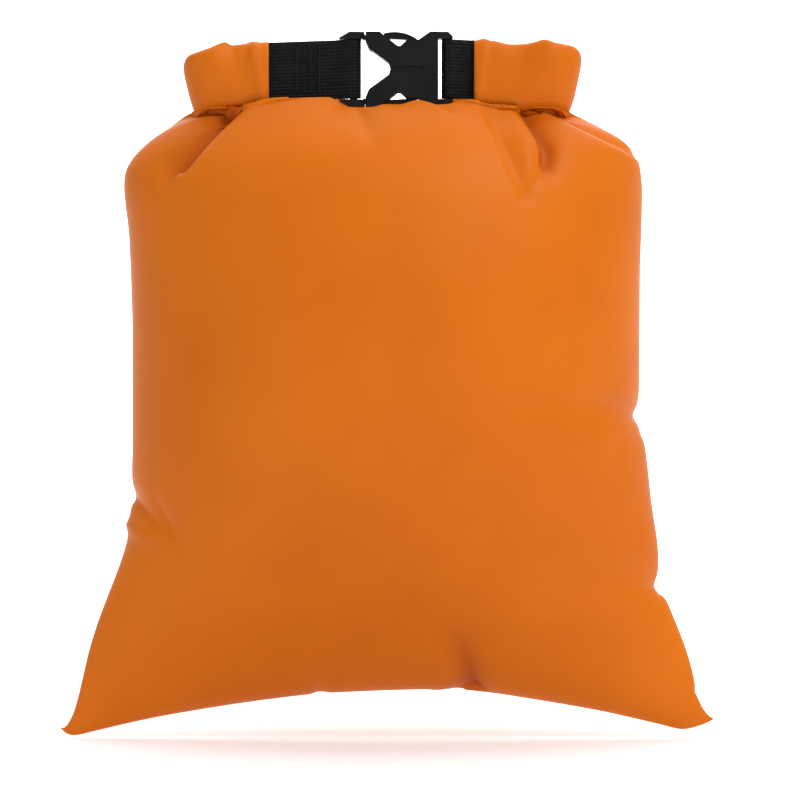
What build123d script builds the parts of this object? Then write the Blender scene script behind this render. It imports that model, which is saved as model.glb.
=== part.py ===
from build123d import *
from math import cos, radians, tan
import os

# A roll-top dry bag, filled and closed.  Z is up, the buckle faces -Y, +X is to the right when the
# buckle faces the viewer.  Z = 0 is the level of the two bottom corners, X = 0 and Y = 0 are the
# middle of the bag.  Sizes are in millimetres.

# ---- the filled bag ----
body_height = 271.0          # bottom corners to the front rim under the rolled mouth
body_half_width = 109.5      # middle of the bag to a side seam
body_thickness = 134.0       # front to back where the bag is fullest
ear_reach = 34.0             # how far each bottom corner sticks out past the side seam
ear_height = 17.0            # level where the flat corner starts to fill out
ear_tip_height = 9.0         # level of the tip of a corner
shoulder_swell = 2.5         # how far the shoulders stand out past the side seam
bottom_rise = 20.0           # how far the middle of the bottom seam lies above the corners
seam_edge = 2.4              # thickness of the doubled cloth along a seam
cloth = 1.0                  # modelled wall of the coated cloth
seam_rim = 3.0               # width of the closed rim outside the inner space
neck_half_width = 88.0       # middle to side where the neck meets the rolled mouth
neck_thickness = 66.0        # front to back there
ear_foot_share = 0.82        # share of the reach where a corner's flat foot ends
ear_overlap = 5.0            # how far the flat corners run up into the filled part
bulge_reach = 0.62           # share of the half width at which the sides turn in
bulge_share = 0.40           # share of the thickness that is left there

# ---- seam tapes, inside ----
tape_width = 9.0
tape_thickness = 1.0
tape_end_gap = 12.0          # tape ends stay this far from the corners and the neck

# ---- rolled mouth, a D-shaped ring seen from above ----
ring_centre_x = -2.0
ring_half_chord = 86.6       # where the straight front and the round back would meet
ring_front_y = -24.0
ring_depth = 50.0            # straight front to the furthest point of the round back
ring_corner_radius = 8.0
roll_thickness = 9.0
roll_wrap = 1.0              # cloth above and below the webbing
roll_gap = 0.3               # rolled mouth to the bag's top
back_tilt = 23.0             # degrees that the ring drops towards the back
left_end_length = 34.8       # visible straight front of the roll, left
right_end_length = 43.3      # visible straight front of the roll, right
ring_split_y = -12.0         # where the left end parts from the back run
moving_gap = 0.4             # clearance between pieces that move past each other

# ---- webbing ----
webbing_width = 25.0
webbing_thickness = 1.5
webbing_gap = 0.3            # play of the webbing in slots and beside frames
layer_gap = 0.1              # between two layers that are sewn together
hidden_strap = 22.0          # strap length held inside a roll end
stitch_thickness = 0.4
stitch_width = 0.8
stitch_pitch = 3.2
stitch_margin = 2.5

# ---- stiffening strip inside the back of the roll ----
stiffener_thickness = 1.2

# ---- side-release buckle ----
buckle_rim = 3.3             # frame above and below the webbing
buckle_thickness = 9.0
frame_thickness = 7.0
bar_diameter = 3.2           # round bar that the webbing turns on
arm_length = 6.0             # straight top of a socket arm at the mouth
socket_mouth_x = -8.8
socket_length = 37.0
plug_length = 10.7
plug_gap = 0.5               # plug frame to socket mouth
release_travel = 24.0        # how far the plug has to come out to be free
arm_tip_height = 3.8         # end face of a socket arm
arm_slope = 1.7              # from the arm's flat top down to the prong's opening
opening_slope = 2.4          # from there to the floor of the prong's opening
notch_depth = 2.6            # floor of the opening below the waist
notch_half_floor = 0.6
notch_reach = 3.2            # middle of the opening to the waist
notch_lip = 0.2
shoulder_run = 3.4           # slope between the waist and the end frame
socket_corner = 2.0          # cut corner of the end frame
apex_depth = 10.5            # how far the V of the mouth reaches into the socket
apex_half_height = 2.4       # blunt point of the V
apex_slope = 0.6
mouth_lip = 1.4              # start of the V behind the arm's end
mouth_lip_drop = 7.2
waist_x = 13.6
waist_inset = 3.5
strap_slot_width = 3.0
groove_half_height = 1.3
groove_depth = 1.0
groove_length = 13.4
groove_offset = 7.8          # point of the V to the middle of the groove
plug_top_share = 0.6         # share of the plug's length that is at full height
plug_lip = 0.5
channel_thickness = 5.2      # prong channel, front to back
prong_thickness = 4.6
prong_root_radius = 1.2
prong_root_clearance = 0.05
prong_stem = 1.8             # height of the springy arm
prong_play = 0.1             # arm to channel wall
channel_wall = 1.5           # socket wall outside the prong's stem
channel_depth = 6.8          # room in which a pressed prong moves
prong_head_rise = 1.0        # the shoulder stands this far out past the channel
pocket_play = 1.0            # room behind a prong's tip
pad_run = 4.2                # shoulder to the highest point of a press pad
pad_rise = 0.6
pad_end_gap = 0.4            # press pad to the socket's waist
pad_tip_drop = 1.2
pad_inner_run = 2.8

os.makedirs("parts", exist_ok=True)

# ---- values that follow from the sizes above ----
strap_half = webbing_thickness + layer_gap / 2
slot_play = webbing_gap + strap_half * tan(radians(back_tilt))
roll_height = webbing_width + 2 * (slot_play + roll_wrap)
closure_z = body_height + roll_gap + roll_height / 2
tilt_share = cos(radians(back_tilt))
ring_left_x = ring_centre_x - ring_half_chord
left_mouth_x = ring_left_x + ring_corner_radius / 2 + left_end_length
right_mouth_x = ring_centre_x + ring_half_chord - ring_corner_radius / 2 - right_end_length
buckle_height = webbing_width + 2 * buckle_rim
half_buckle = buckle_height / 2
half_slot = webbing_width / 2 + webbing_gap
socket_end_x = socket_mouth_x + socket_length
plug_end_x = socket_mouth_x - plug_gap
plug_bar_x = plug_end_x - 2 * webbing_thickness - bar_diameter / 2
socket_bar_x = socket_end_x - bar_diameter / 2
prong_pivot_x = plug_end_x - prong_root_radius / 2
prong_pivot_rise = half_slot + prong_root_radius - prong_play
layer_y = (webbing_thickness + layer_gap) / 2
seat_left_x = plug_end_x - plug_length - release_travel - 2 * moving_gap
seat_bottom = closure_z - half_buckle - moving_gap
seat_half_depth = buckle_thickness / 2 + moving_gap


def body_station(share_of_height, share_of_flare, share_of_swell, share_of_thickness):
    """Height, half width and thickness of the bag at one share of its height."""
    height = body_height * share_of_height
    half_width = body_half_width + ear_reach * share_of_flare + shoulder_swell * share_of_swell
    return height, half_width, body_thickness * share_of_thickness


# share of the height, flare towards the corners, swell of the shoulders, share of the full thickness
stations = [
    body_station(ear_height / body_height, 0.88, 0, 0.05),
    body_station(0.16, 0.58, 0, 0.33),
    body_station(0.24, 0.34, 0, 0.54),
    body_station(0.34, 0.10, 0, 0.75),
    body_station(0.48, 0, 0, 0.92),
    body_station(0.69, 0, 0, 1.0),
    body_station(0.85, 0, 1, 0.88),
    body_station(0.93, 0, 0.4, 0.72),
]
neck_top = body_height + cloth
neck = (neck_top, neck_half_width, neck_thickness)


def lens(height, half_width, thickness, edge):
    """The bag's cross-section at one height: two bulging sides that meet in a thin edge."""
    near_side = half_width * bulge_reach
    with BuildSketch(Plane.XY.offset(height)) as section:
        with BuildLine():
            for side in (-1, 1):
                Spline(
                    (-half_width, side * edge / 2),
                    (-near_side, side * thickness * bulge_share),
                    (0, side * thickness / 2),
                    (near_side, side * thickness * bulge_share),
                    (half_width, side * edge / 2),
                )
            Line((-half_width, -edge / 2), (-half_width, edge / 2))
            Line((half_width, -edge / 2), (half_width, edge / 2))
        make_face()
    return section.sketch.face()


# The top of the bag and the rolled mouth drop towards the back in parallel planes.
top_plane = Plane(origin=(0, ring_front_y, body_height), z_dir=(0, 0, 1)).rotated((-back_tilt, 0, 0))
lowest_roll = top_plane.offset(roll_gap * tilt_share)

# ---- filled bag, solid ----
with BuildPart() as filled_bag:
    loft([lens(*station, seam_edge) for station in stations + [neck]])
    # flat bottom corners below the filled part
    corner_x = body_half_width + ear_reach * ear_foot_share
    tip_x = body_half_width + ear_reach
    with BuildSketch(Plane.XZ):
        with BuildLine():
            low_edge = ThreePointArc((-corner_x, 0), (0, bottom_rise - ear_overlap), (corner_x, 0))
            Polyline(
                low_edge @ 1,
                (tip_x, ear_tip_height),
                (stations[0][1], ear_height + cloth),
                (-stations[0][1], ear_height + cloth),
                (-tip_x, ear_tip_height),
                low_edge @ 0,
            )
        make_face()
    extrude(amount=seam_edge / 2, both=True)
    # the bottom seam arches up between the corners
    with BuildSketch(Plane.XZ):
        with BuildLine():
            low_arch = ThreePointArc((-corner_x, 0), (0, bottom_rise), (corner_x, 0))
            Line(low_arch @ 1, low_arch @ 0)
        make_face()
    extrude(amount=body_thickness, both=True, mode=Mode.SUBTRACT)
    split(bisect_by=top_plane, keep=Keep.BOTTOM)
    # the rim is pressed down where the buckle lies on it and slides
    with Locations((seat_left_x, ring_front_y, seat_bottom)):
        Box(
            socket_end_x + moving_gap - seat_left_x,
            2 * seat_half_depth,
            buckle_height,
            align=(Align.MIN, Align.CENTER, Align.MIN),
            mode=Mode.SUBTRACT,
        )

# ---- the space inside ----
with BuildPart() as inner_space:
    first_height, first_half_width, first_thickness = stations[0]
    inner_sections = [
        lens(
            first_height + 2 * seam_rim,
            first_half_width - 4 * seam_rim,
            first_thickness - 2 * cloth,
            cloth,
        )
    ]
    for height, half_width, thickness in stations[1:] + [neck]:
        inner_sections.append(lens(height, half_width - seam_rim, thickness - 2 * cloth, cloth))
    loft(inner_sections)
    split(bisect_by=top_plane.offset(-cloth), keep=Keep.BOTTOM)
    with Locations((seat_left_x - cloth, ring_front_y, seat_bottom - cloth)):
        Box(
            socket_end_x + moving_gap - seat_left_x + 2 * cloth,
            2 * (seat_half_depth + cloth),
            buckle_height,
            align=(Align.MIN, Align.CENTER, Align.MIN),
            mode=Mode.SUBTRACT,
        )

with BuildPart() as front_panel:
    add(filled_bag.part)
    add(inner_space.part, mode=Mode.SUBTRACT)
    split(bisect_by=Plane.XZ, keep=Keep.TOP)

with BuildPart() as back_panel:
    add(filled_bag.part)
    add(inner_space.part, mode=Mode.SUBTRACT)
    split(bisect_by=Plane.XZ, keep=Keep.BOTTOM)


def side_seam_tape(side):
    """The tape over the seam on one side, inside the bag: side is -1 on the left, 1 on the right."""
    tape_points = []
    for height, half_width, thickness in stations[1:]:
        tape_points.append((side * (half_width - 2 * seam_rim), height))
    with BuildPart() as tape:
        with BuildSketch(Plane.XZ):
            with BuildLine():
                outer = Spline(*tape_points)
                inner = Spline(*[(x - side * tape_width, z) for x, z in tape_points])
                Line(outer @ 0, inner @ 0)
                Line(outer @ 1, inner @ 1)
            make_face()
        extrude(amount=tape_thickness / 2, both=True)
    return tape


left_seam_tape = side_seam_tape(-1)
right_seam_tape = side_seam_tape(1)

with BuildPart() as bottom_seam_tape:
    tape_rise = bottom_rise + 4 * seam_rim
    tape_reach = body_half_width - tape_end_gap
    with BuildSketch(Plane.XZ):
        with BuildLine():
            tape_foot = ThreePointArc(
                (-tape_reach, tape_rise - bottom_rise / 3),
                (0, tape_rise),
                (tape_reach, tape_rise - bottom_rise / 3),
            )
            tape_top = ThreePointArc(
                (-tape_reach, tape_rise - bottom_rise / 3 + tape_width),
                (0, tape_rise + tape_width),
                (tape_reach, tape_rise - bottom_rise / 3 + tape_width),
            )
            Line(tape_foot @ 0, tape_top @ 0)
            Line(tape_foot @ 1, tape_top @ 1)
        make_face()
    extrude(amount=tape_thickness / 2, both=True)

# ---- rolled mouth ----
# The ring's middle line: a straight front and a round back that meet in tight corners.
with BuildSketch() as ring_middle:
    with BuildLine():
        front_line = Line(
            (ring_centre_x + ring_half_chord, ring_front_y),
            (ring_centre_x - ring_half_chord, ring_front_y),
        )
        ThreePointArc(
            front_line @ 0,
            (ring_centre_x, ring_front_y + ring_depth),
            front_line @ 1,
        )
    make_face()
    fillet(ring_middle.vertices(), ring_corner_radius)


def ring_band(outward, inward):
    """A band that follows the ring's middle line, from one offset outside to one inside it."""
    with BuildSketch() as band:
        add(ring_middle.sketch)
        offset(amount=outward)
        with BuildSketch(mode=Mode.PRIVATE) as hole:
            add(ring_middle.sketch)
            offset(amount=-inward)
        add(hole.sketch, mode=Mode.SUBTRACT)
    return band.sketch


slot_half = strap_half + webbing_gap
band_height = 2 * (roll_height + ring_depth * tan(radians(back_tilt)))
low_slot = lowest_roll.offset(roll_wrap * tilt_share)
high_slot = lowest_roll.offset((roll_height - roll_wrap) * tilt_share)
highest_roll = lowest_roll.offset(roll_height * tilt_share)

with BuildPart() as roll_slot:
    with BuildSketch(Plane.XY.offset(closure_z - band_height / 2)):
        add(ring_band(slot_half, slot_half))
    extrude(amount=band_height)
    split(bisect_by=low_slot, keep=Keep.TOP)
    split(bisect_by=high_slot, keep=Keep.BOTTOM)

with BuildPart() as whole_roll:
    with BuildSketch(Plane.XY.offset(closure_z - band_height / 2)):
        add(ring_band(roll_thickness / 2, roll_thickness / 2))
    extrude(amount=band_height)
    split(bisect_by=lowest_roll, keep=Keep.TOP)
    split(bisect_by=highest_roll, keep=Keep.BOTTOM)
    add(roll_slot.part, mode=Mode.SUBTRACT)

ring_room = 2 * (ring_half_chord + ring_depth)

with BuildPart() as left_roll_end:
    add(whole_roll.part)
    with Locations((left_mouth_x, ring_split_y - moving_gap, closure_z)):
        Box(ring_room, ring_room, ring_room, align=(Align.MAX, Align.MAX, Align.CENTER), mode=Mode.INTERSECT)

with BuildPart() as right_roll_end:
    add(whole_roll.part)
    with Locations((right_mouth_x, ring_split_y, closure_z)):
        Box(ring_room, ring_room, ring_room, align=(Align.MIN, Align.MAX, Align.CENTER), mode=Mode.INTERSECT)

with BuildPart() as back_roll:
    add(whole_roll.part)
    with Locations((0, ring_split_y, closure_z)):
        Box(ring_room, ring_room, ring_room, align=(Align.CENTER, Align.MIN, Align.CENTER), mode=Mode.INTERSECT)

with BuildPart() as mouth_stiffener:
    with BuildSketch(Plane.XY.offset(closure_z - band_height / 2)):
        add(ring_band(stiffener_thickness / 2, stiffener_thickness / 2))
    extrude(amount=band_height)
    split(bisect_by=low_slot.offset(webbing_gap), keep=Keep.TOP)
    split(bisect_by=high_slot.offset(-webbing_gap), keep=Keep.BOTTOM)
    with Locations((0, ring_split_y + moving_gap, closure_z)):
        Box(ring_room, ring_room, ring_room, align=(Align.CENTER, Align.MIN, Align.CENTER), mode=Mode.INTERSECT)


# ---- webbing straps ----
def strap(bar_x, sewn_x, tail_end_x, front_end_x):
    """Webbing that runs into a roll end, turns round a buckle bar and is sewn back on itself."""
    room_radius = (bar_diameter + webbing_gap) / 2
    loop_radius = room_radius + webbing_thickness
    with BuildPart() as webbing:
        with BuildSketch(Plane.XY.offset(closure_z - webbing_width / 2)):
            # loop round the bar, narrowing to where the layers meet
            with Locations((bar_x, ring_front_y)):
                Circle(loop_radius)
            with Locations((sewn_x, ring_front_y)):
                Rectangle(layer_gap, 2 * strap_half)
            make_hull()
            # the two sewn layers
            with Locations(((sewn_x + tail_end_x) / 2, ring_front_y)):
                Rectangle(abs(sewn_x - tail_end_x), 2 * strap_half)
            with BuildSketch(mode=Mode.PRIVATE) as loop_room:
                with Locations((bar_x, ring_front_y)):
                    Circle(room_radius)
                with Locations((sewn_x, ring_front_y)):
                    Rectangle(layer_gap, layer_gap)
                make_hull()
            add(loop_room.sketch, mode=Mode.SUBTRACT)
            with Locations(((sewn_x + tail_end_x) / 2, ring_front_y)):
                Rectangle(abs(sewn_x - tail_end_x), layer_gap, mode=Mode.SUBTRACT)
            # the front layer goes on into the roll
            with Locations(((tail_end_x + front_end_x) / 2, ring_front_y - layer_y)):
                Rectangle(abs(front_end_x - tail_end_x), webbing_thickness)
        extrude(amount=webbing_width)
    return webbing


left_sewn_x = plug_bar_x - 3 * bar_diameter
left_strap = strap(plug_bar_x, left_sewn_x, left_mouth_x + stitch_margin, left_mouth_x - hidden_strap)

right_sewn_x = socket_bar_x + 2 * bar_diameter
right_tail_x = right_mouth_x + hidden_strap - 2 * stitch_margin
right_strap = strap(socket_bar_x, right_sewn_x, right_tail_x, right_mouth_x + hidden_strap)


def stitch_rows(start_x, count, direction):
    """Rows of thread across the webbing's front that hold the two layers together."""
    with BuildPart() as rows:
        for row in range(count):
            row_x = start_x + direction * row * stitch_pitch
            with Locations((row_x, ring_front_y - strap_half, closure_z)):
                Box(
                    stitch_width,
                    stitch_thickness,
                    webbing_width - 2 * stitch_margin,
                    align=(Align.CENTER, Align.MAX, Align.CENTER),
                )
    return rows


left_strap_stitching = stitch_rows(left_sewn_x - 2 * stitch_margin, 4, -1)
right_strap_stitching = stitch_rows(right_sewn_x + stitch_width * 2, 1, 1)

# ---- buckle ----
closure = Plane(origin=(0, ring_front_y, closure_z), x_dir=(1, 0, 0), z_dir=(0, -1, 0))
arm_end_x = socket_mouth_x + arm_length
notch_x = (arm_end_x + waist_x) / 2
waist_rise = half_buckle - waist_inset
frame_start_x = socket_end_x - bar_diameter - strap_slot_width
stem_top = half_buckle - channel_wall
head_top = stem_top + prong_head_rise - prong_root_clearance
head_start_x = arm_end_x + arm_slope
pocket_end_x = waist_x + pocket_play
notch_rise = waist_rise - notch_depth
pad_end_x = waist_x - pad_end_gap

with BuildPart() as buckle_socket:
    with BuildSketch(closure):
        with BuildLine():
            Polyline(
                (socket_mouth_x, half_buckle - arm_tip_height),
                (socket_mouth_x, half_buckle),
                (arm_end_x, half_buckle),
                (head_start_x, stem_top),
                (head_start_x + opening_slope, waist_rise + notch_lip),
                (notch_x - notch_half_floor, notch_rise),
                (notch_x + notch_half_floor, notch_rise),
                (notch_x + notch_reach, waist_rise - notch_lip),
                (waist_x, waist_rise),
                (frame_start_x - shoulder_run, half_buckle),
                (socket_end_x - socket_corner, half_buckle),
                (socket_end_x, half_buckle - socket_corner),
                (socket_end_x, 0),
                (socket_mouth_x + apex_depth, 0),
                (socket_mouth_x + apex_depth - apex_slope, apex_half_height),
                (socket_mouth_x + mouth_lip, half_buckle - mouth_lip_drop),
                close=True,
            )
        make_face()
        mirror(about=Plane.XZ)
    extrude(amount=buckle_thickness / 2, both=True)
    # the end frame is thinner than the middle
    for face_side in (-1, 1):
        with BuildSketch(closure.offset(face_side * (buckle_thickness + frame_thickness) / 4)):
            with Locations((socket_end_x, 0)):
                Rectangle(2 * (socket_end_x - frame_start_x), buckle_height)
        extrude(amount=(buckle_thickness - frame_thickness) / 4, both=True, mode=Mode.SUBTRACT)
    # room for the webbing, crossed by the round bar
    with BuildSketch(closure):
        with Locations((socket_end_x, 0)):
            Rectangle(2 * (socket_end_x - frame_start_x), 2 * half_slot)
    extrude(amount=buckle_thickness, both=True, mode=Mode.SUBTRACT)
    with BuildSketch(Plane.XY.offset(closure_z)):
        with Locations((socket_bar_x, ring_front_y)):
            Circle(bar_diameter / 2)
    extrude(amount=half_slot + prong_play, both=True)
    # channels that the two prongs run in
    with BuildSketch(closure):
        with BuildLine():
            Polyline(
                (socket_mouth_x, stem_top),
                (head_start_x + prong_root_radius, stem_top),
                (pocket_end_x, stem_top),
                (pocket_end_x, stem_top - channel_depth),
                (socket_mouth_x, stem_top - channel_depth),
                close=True,
            )
        make_face()
        mirror(about=Plane.XZ)
    extrude(amount=channel_thickness / 2, both=True, mode=Mode.SUBTRACT)
    # shallow groove along the middle of both faces
    for face_side in (-1, 1):
        with BuildSketch(closure.offset(face_side * buckle_thickness / 2)):
            with Locations((socket_mouth_x + apex_depth + groove_offset, 0)):
                SlotOverall(groove_length, 2 * groove_half_height)
        extrude(amount=groove_depth, both=True, mode=Mode.SUBTRACT)

with BuildPart() as buckle_plug:
    with BuildSketch(closure):
        with BuildLine():
            Polyline(
                (plug_end_x, half_slot),
                (plug_end_x, half_buckle),
                (plug_end_x - plug_length * plug_top_share, half_buckle),
                (plug_end_x - plug_length, half_slot + plug_lip),
                (plug_end_x - plug_length, half_slot),
                close=True,
            )
        make_face()
        mirror(about=Plane.XZ)
    extrude(amount=frame_thickness / 2, both=True)
    with BuildSketch(Plane.XY.offset(closure_z)):
        with Locations((plug_bar_x, ring_front_y)):
            Circle(bar_diameter / 2)
    extrude(amount=half_slot + prong_play, both=True)
    # seats for the prong roots
    with BuildSketch(closure):
        for side in (-1, 1):
            with Locations((prong_pivot_x, side * prong_pivot_rise)):
                Circle(prong_root_radius + prong_root_clearance)
            with Locations((plug_end_x, side * half_slot)):
                Rectangle(prong_root_radius, prong_stem)
    extrude(amount=frame_thickness, both=True, mode=Mode.SUBTRACT)


def prong(side):
    """A springy arm with a press pad and a shoulder: side is 1 for the upper, -1 for the lower."""
    stem_high = stem_top - prong_play
    stem_low = stem_high - prong_stem
    with BuildPart() as arm:
        with BuildSketch(closure):
            with Locations((prong_pivot_x, side * prong_pivot_rise)):
                Circle(prong_root_radius)
            with BuildLine():
                pad = ThreePointArc(
                    (head_start_x, side * head_top),
                    (head_start_x + pad_run, side * (head_top + pad_rise)),
                    (pad_end_x, side * (waist_rise + pad_end_gap)),
                )
                Polyline(
                    pad @ 1,
                    (pad_end_x, side * (waist_rise - pad_tip_drop)),
                    (notch_x + notch_reach - notch_lip, side * (waist_rise + notch_lip)),
                    (head_start_x + pad_inner_run, side * (waist_rise + pad_rise)),
                    (head_start_x, side * stem_low),
                    (prong_pivot_x + prong_play, side * stem_low),
                    (prong_pivot_x + prong_play, side * stem_high),
                    (head_start_x, side * stem_high),
                    pad @ 0,
                )
            make_face()
        extrude(amount=prong_thickness / 2, both=True)
    return arm


upper_prong = prong(1)
lower_prong = prong(-1)

pieces = {
    "front_panel": front_panel,
    "back_panel": back_panel,
    "left_seam_tape": left_seam_tape,
    "right_seam_tape": right_seam_tape,
    "bottom_seam_tape": bottom_seam_tape,
    "back_roll": back_roll,
    "left_roll_end": left_roll_end,
    "right_roll_end": right_roll_end,
    "mouth_stiffener": mouth_stiffener,
    "left_strap": left_strap,
    "right_strap": right_strap,
    "left_strap_stitching": left_strap_stitching,
    "right_strap_stitching": right_strap_stitching,
    "buckle_socket": buckle_socket,
    "buckle_plug": buckle_plug,
    "upper_prong": upper_prong,
    "lower_prong": lower_prong,
}
for node, piece in pieces.items():
    piece.part.label = node
    export_step(piece.part, f"parts/{node}.step")
    print(node, "volume", round(piece.part.volume, 1), "solids", len(piece.part.solids()))
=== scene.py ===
# %% [markdown]
# # A roll-top dry bag
# The bag is a pouch of coated orange cloth. Its mouth is rolled down three turns, and the two ends of the roll
# are pulled together at the front by webbing and a side-release buckle, so the roll makes a D-shaped ring.
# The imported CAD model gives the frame: the buckle, its prongs and the thread come from there as they are,
# and the cloth and the webbing are made here, because cloth needs folds that a solid doesn't have.

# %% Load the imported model
from math import atan2, cos, exp, hypot, pi, sin
import bpy
import bmesh
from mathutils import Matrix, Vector, noise
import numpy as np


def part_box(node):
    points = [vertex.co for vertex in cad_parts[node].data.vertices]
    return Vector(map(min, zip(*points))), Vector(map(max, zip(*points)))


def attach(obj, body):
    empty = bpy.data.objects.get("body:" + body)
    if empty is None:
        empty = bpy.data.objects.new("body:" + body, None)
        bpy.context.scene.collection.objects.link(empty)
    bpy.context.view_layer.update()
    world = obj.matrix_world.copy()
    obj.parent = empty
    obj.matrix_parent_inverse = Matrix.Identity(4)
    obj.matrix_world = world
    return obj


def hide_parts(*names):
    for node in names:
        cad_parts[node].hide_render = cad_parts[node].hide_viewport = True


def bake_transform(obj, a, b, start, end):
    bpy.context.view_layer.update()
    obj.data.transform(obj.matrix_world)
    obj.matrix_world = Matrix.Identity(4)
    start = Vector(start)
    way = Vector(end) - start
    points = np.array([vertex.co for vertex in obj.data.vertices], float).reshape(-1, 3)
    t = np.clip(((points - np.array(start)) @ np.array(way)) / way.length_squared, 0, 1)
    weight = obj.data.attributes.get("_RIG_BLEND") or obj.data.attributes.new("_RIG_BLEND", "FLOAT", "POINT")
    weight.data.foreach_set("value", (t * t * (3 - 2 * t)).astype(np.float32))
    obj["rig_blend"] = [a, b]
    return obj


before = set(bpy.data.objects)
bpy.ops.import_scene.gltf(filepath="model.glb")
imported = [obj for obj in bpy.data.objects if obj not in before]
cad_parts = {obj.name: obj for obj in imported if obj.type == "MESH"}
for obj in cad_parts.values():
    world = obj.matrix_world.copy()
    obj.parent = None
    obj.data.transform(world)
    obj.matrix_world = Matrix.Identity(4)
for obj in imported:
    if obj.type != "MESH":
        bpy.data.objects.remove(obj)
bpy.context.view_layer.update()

MM = 0.001

# %% [markdown]
# ## The camera
# The bag is seen straight from the front, level with its middle, from far enough away that the near side
# hardly looks larger than the seams. The lens is worked out from the width of the view at the seams.

# %% Place the camera
view_width = 345 * MM
view_distance = 1.45
camera_data = bpy.data.cameras.new("camera")
camera_data.sensor_width = 36
camera_data.lens = camera_data.sensor_width * view_distance / view_width
camera_data.clip_start = 0.05
camera = bpy.data.objects.new("camera", camera_data)
bpy.context.scene.collection.objects.link(camera)
camera.location = (5.8 * MM, -view_distance, 145.7 * MM)
camera.rotation_euler = (pi / 2, 0, 0)
bpy.context.scene.camera = camera
print("lens", round(camera_data.lens, 1), "mm")

# %% [markdown]
# ## What the CAD model says about the closure
# The cloth has to meet the hard pieces, so the ring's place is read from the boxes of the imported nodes.
# The ring is lower at the back than at the front, and that slope is read from two nodes as well.

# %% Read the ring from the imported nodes
left_end_low, left_end_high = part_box("left_roll_end")
right_end_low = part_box("right_roll_end")[0]
back_low, back_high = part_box("back_roll")
plug_low, plug_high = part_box("buckle_plug")
roll_half_thickness = 4.5 * MM
corner_radius = 8 * MM
ring_centre_x = (back_low.x + back_high.x) / 2
front_y = left_end_low.y + roll_half_thickness
back_y = back_high.y - roll_half_thickness
closure_z = (plug_low.z + plug_high.z) / 2
left_mouth_x = left_end_high.x
right_mouth_x = right_end_low.x
drop = (left_end_low.z - back_low.z) / (back_high.y - left_end_high.y)
roll_middle_z = closure_z - 1.8 * MM
roll_half_height = 14.0 * MM
print("ring centre", round(ring_centre_x / MM, 1), "front", round(front_y / MM, 1), "back", round(back_y / MM, 1))
print("drop", round(drop, 3), "roll half height", round(roll_half_height / MM, 1),
      "closure", round(closure_z / MM, 1))

# %% [markdown]
# ## A line round the ring
# The roll follows a path of a straight front, two tight corners and a round back. The function turns a
# distance along that path into a point and the direction that faces out of the ring.
# Everything that meets the roll uses the same function, so nothing has to be fitted by eye.

# %% Walk round the ring
bend_x = ring_centre_x + (back_high.x - ring_centre_x) - roll_half_thickness - corner_radius
bend_reach = bend_x - ring_centre_x
bend_y = front_y + corner_radius
arc_y = ((back_y - corner_radius) ** 2 - bend_y ** 2 - bend_reach ** 2) / (2 * (back_y - corner_radius - bend_y))
arc_radius = back_y - arc_y
arc_start = atan2(bend_y - arc_y, bend_reach)
front_left_run = left_mouth_x - (ring_centre_x - bend_reach)
front_right_run = bend_x - right_mouth_x
corner_run = corner_radius * (pi / 2 + arc_start)
back_run = arc_radius * (pi - 2 * arc_start)
ring_length = front_left_run + corner_run + back_run + corner_run + front_right_run


def ring_path(distance):
    """The point on the ring's middle line and the outward direction, from the left end round to the right."""
    if distance < front_left_run:
        return left_mouth_x - distance, front_y, 0.0, -1.0
    distance -= front_left_run
    if distance < corner_run:
        angle = -pi / 2 - distance / corner_radius
        return (ring_centre_x - bend_reach + corner_radius * cos(angle), bend_y + corner_radius * sin(angle),
                cos(angle), sin(angle))
    distance -= corner_run
    if distance < back_run:
        angle = pi - arc_start - distance / arc_radius
        return ring_centre_x + arc_radius * cos(angle), arc_y + arc_radius * sin(angle), cos(angle), sin(angle)
    distance -= back_run
    if distance < corner_run:
        angle = arc_start - distance / corner_radius
        return bend_x + corner_radius * cos(angle), bend_y + corner_radius * sin(angle), cos(angle), sin(angle)
    distance -= corner_run
    return bend_x - distance, front_y, 0.0, -1.0


def corner_share(distance):
    """1 at the middle of either corner of the ring, fading to 0 along the runs."""
    left = front_left_run + corner_run / 2
    right = front_left_run + corner_run + back_run + corner_run / 2
    return max(exp(-((distance - left) / (16 * MM)) ** 2), exp(-((distance - right) / (16 * MM)) ** 2))


def ring_point(distance, out, up):
    """A point beside the ring's path: out of the ring and up the roll, which leans outwards at its corners."""
    x, y, out_x, out_y = ring_path(distance)
    lean = 0.24 * corner_share(distance) * up
    middle_z = roll_middle_z - drop * (y - front_y)
    return Vector((x + out_x * (out + lean), y + out_y * (out + lean), middle_z + up))


print("ring is", round(ring_length / MM), "mm round, its back arc has a radius of", round(arc_radius / MM))

# %% [markdown]
# ## Smooth lines through a few stations
# A maker draws an outline from a handful of widths at given heights. This helper puts a smooth line
# through such stations without letting it swing past them.


# %% Draw through stations
def through(stations, place):
    """The value at a place, on a smooth line through (place, value) stations that never overshoots."""
    if place <= stations[0][0]:
        return stations[0][1]
    if place >= stations[-1][0]:
        return stations[-1][1]
    k = 0
    while stations[k + 1][0] < place:
        k += 1

    def secant(j):
        return (stations[j + 1][1] - stations[j][1]) / (stations[j + 1][0] - stations[j][0])

    def tangent(j):
        if j == 0:
            return secant(0)
        if j == len(stations) - 1:
            return secant(j - 1)
        before, after = secant(j - 1), secant(j)
        return 0.0 if before * after <= 0 else 2 * before * after / (before + after)

    width = stations[k + 1][0] - stations[k][0]
    u = (place - stations[k][0]) / width
    return (
        stations[k][1] * (1 + 2 * u) * (1 - u) ** 2
        + tangent(k) * width * u * (1 - u) ** 2
        + stations[k + 1][1] * u * u * (3 - 2 * u)
        + tangent(k + 1) * width * u * u * (u - 1)
    )


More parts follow.
